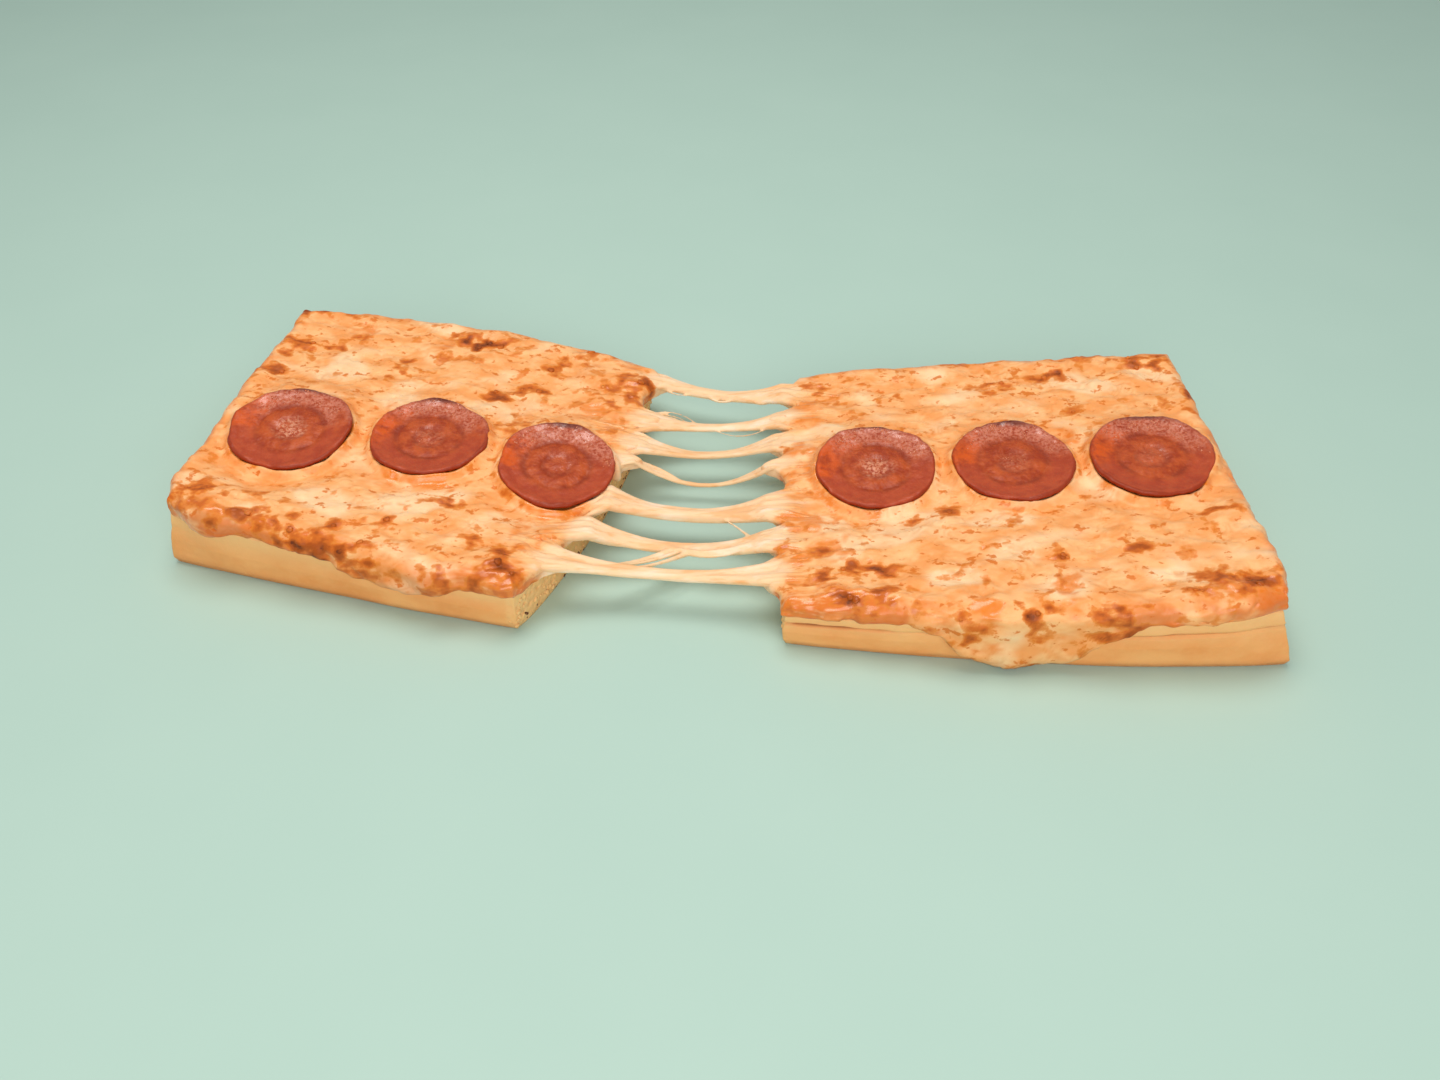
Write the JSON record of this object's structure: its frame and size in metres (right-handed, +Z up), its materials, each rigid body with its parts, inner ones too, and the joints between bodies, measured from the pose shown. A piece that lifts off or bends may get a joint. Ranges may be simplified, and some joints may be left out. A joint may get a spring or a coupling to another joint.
{
  "type": "pepperoni pizza slice",
  "caption": "Thick square-cut pepperoni pizza slice pulled apart into two halves, with bread, sauce, melted cheese stretched into strings between them, and pepperoni rounds on top.",
  "frame": {"origin": "middle of the slice's plan, at the flat underside of the bread", "axes": "+X along the pull from the left half to the right half, +Y to the back, +Z up"},
  "size_m": [0.3374, 0.162, 0.0301],
  "materials": {
    "bread": "matte baked crust",
    "sauce": "wet tomato sauce",
    "cheese": "melted and browned, oily in places",
    "pepperoni": "oily cured sausage"
  },
  "bodies": {
    "root": {"cheese": "cheese", "bread_left": "bread", "bread_right": "bread", "sauce_left": "sauce", "sauce_right": "sauce", "pepperoni_left_1": "pepperoni", "pepperoni_left_2": "pepperoni", "pepperoni_left_3": "pepperoni", "pepperoni_right_1": "pepperoni", "pepperoni_right_2": "pepperoni", "pepperoni_right_3": "pepperoni"}
  },
  "joints": []
}
